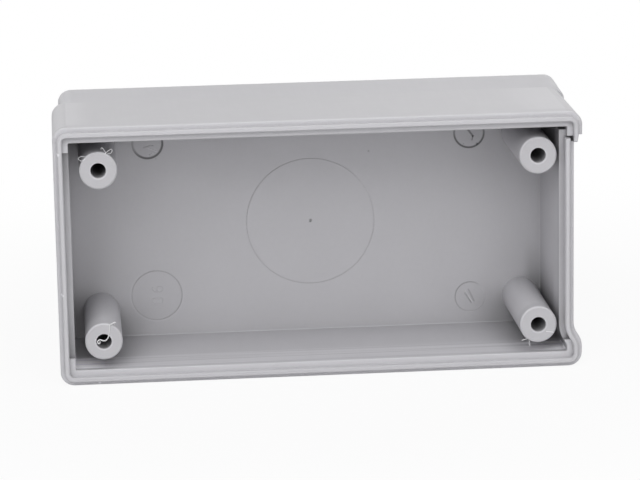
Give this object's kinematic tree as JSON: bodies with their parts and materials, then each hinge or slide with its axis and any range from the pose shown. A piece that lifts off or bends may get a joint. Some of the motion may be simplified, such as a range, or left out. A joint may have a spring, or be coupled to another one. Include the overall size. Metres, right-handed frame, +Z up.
{
  "type": "electronics enclosure",
  "caption": "Moulded two-part electronics enclosure: deep open base with four screw posts and a tongue rim, its shallow cover standing behind it.",
  "frame": {"origin": "middle of the rectangle that both halves cover on the table, at table height", "axes": "+X along the long walls, +Y from the base's opening to the cover's opening, +Z up"},
  "size_m": [0.1013, 0.0412, 0.0498],
  "materials": {
    "shell": "light grey moulded plastic, fine satin surface"
  },
  "bodies": {
    "root": {"base_shell": "shell", "cover_shell": "shell"}
  },
  "joints": []
}
